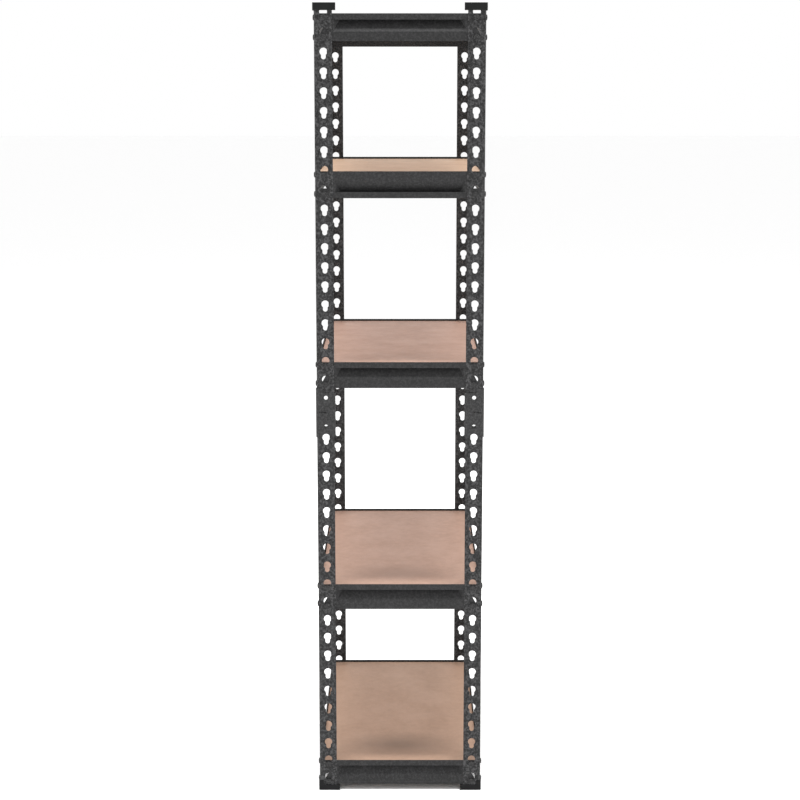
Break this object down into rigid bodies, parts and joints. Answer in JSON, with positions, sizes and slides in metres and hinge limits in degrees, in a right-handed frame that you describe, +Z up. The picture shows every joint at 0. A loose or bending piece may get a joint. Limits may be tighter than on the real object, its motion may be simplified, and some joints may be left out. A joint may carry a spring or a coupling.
{
  "type": "boltless steel shelving",
  "caption": "Free-standing rack of keyholed angle posts, hooked step beams and loose boards, open on all sides, for storing goods.",
  "frame": {"origin": "middle of the footprint, on the floor", "axes": "+X along the shelves to the right as seen from the front, +Y from front to back, +Z up"},
  "size_m": [0.6278, 0.3228, 1.5255],
  "materials": {
    "coated_steel": "charcoal powder coat with a fine hammered texture",
    "rivet_steel": "charcoal powder coat, thin on the heads",
    "cap_plastic": "black moulded plastic",
    "shelf_board": "smooth pressed wood-fibre board, unsealed"
  },
  "bodies": {
    "frame": {"upright_front_left_lower": "coated_steel", "upright_front_left_upper": "coated_steel", "upright_front_right_lower": "coated_steel", "upright_front_right_upper": "coated_steel", "upright_back_left_lower": "coated_steel", "upright_back_left_upper": "coated_steel", "upright_back_right_lower": "coated_steel", "upright_back_right_upper": "coated_steel", "coupler_front_left": "coated_steel", "coupler_front_right": "coated_steel", "coupler_back_left": "coated_steel", "coupler_back_right": "coated_steel", "cap_front_left": "cap_plastic", "cap_front_right": "cap_plastic", "cap_back_left": "cap_plastic", "cap_back_right": "cap_plastic", "foot_front_left": "cap_plastic", "foot_front_right": "cap_plastic", "foot_back_left": "cap_plastic", "foot_back_right": "cap_plastic", "long_beam_front_5": "coated_steel", "long_beam_back_5": "coated_steel", "end_beam_left_5": "coated_steel", "end_beam_right_5": "coated_steel", "rivets_5": "rivet_steel"},
    "level_1": {"long_beam_front_1": "coated_steel", "long_beam_back_1": "coated_steel", "end_beam_left_1": "coated_steel", "end_beam_right_1": "coated_steel", "rivets_1": "rivet_steel"},
    "level_2": {"long_beam_front_2": "coated_steel", "long_beam_back_2": "coated_steel", "end_beam_left_2": "coated_steel", "end_beam_right_2": "coated_steel", "rivets_2": "rivet_steel"},
    "level_3": {"long_beam_front_3": "coated_steel", "long_beam_back_3": "coated_steel", "end_beam_left_3": "coated_steel", "end_beam_right_3": "coated_steel", "rivets_3": "rivet_steel"},
    "level_4": {"long_beam_front_4": "coated_steel", "long_beam_back_4": "coated_steel", "end_beam_left_4": "coated_steel", "end_beam_right_4": "coated_steel", "rivets_4": "rivet_steel"},
    "board_1": {"board_1": "shelf_board"},
    "board_2": {"board_2": "shelf_board"},
    "board_3": {"board_3": "shelf_board"},
    "board_4": {"board_4": "shelf_board"},
    "board_5": {"board_5": "shelf_board"}
  },
  "joints": [
    {"name": "level_1_unhook", "type": "slide", "parent": "frame", "child": "level_1", "axis": [0, 0, 1], "range_m": [0, 0.0099]},
    {"name": "level_2_unhook", "type": "slide", "parent": "frame", "child": "level_2", "axis": [0, 0, 1], "range_m": [0, 0.0099]},
    {"name": "level_3_unhook", "type": "slide", "parent": "frame", "child": "level_3", "axis": [0, 0, 1], "range_m": [0, 0.0099]},
    {"name": "level_4_unhook", "type": "slide", "parent": "frame", "child": "level_4", "axis": [0, 0, 1], "range_m": [0, 0.0099]},
    {"name": "board_1_lift", "type": "slide", "parent": "level_1", "child": "board_1", "axis": [0, 0, 1], "range_m": [0, 0.3]},
    {"name": "board_2_lift", "type": "slide", "parent": "level_2", "child": "board_2", "axis": [0, 0, 1], "range_m": [0, 0.375]},
    {"name": "board_3_lift", "type": "slide", "parent": "level_3", "child": "board_3", "axis": [0, 0, 1], "range_m": [0, 0.3]},
    {"name": "board_4_lift", "type": "slide", "parent": "level_4", "child": "board_4", "axis": [0, 0, 1], "range_m": [0, 0.228]},
    {"name": "board_5_lift", "type": "slide", "parent": "frame", "child": "board_5", "axis": [0, 0, 1], "range_m": [0, 0.2]}
  ]
}
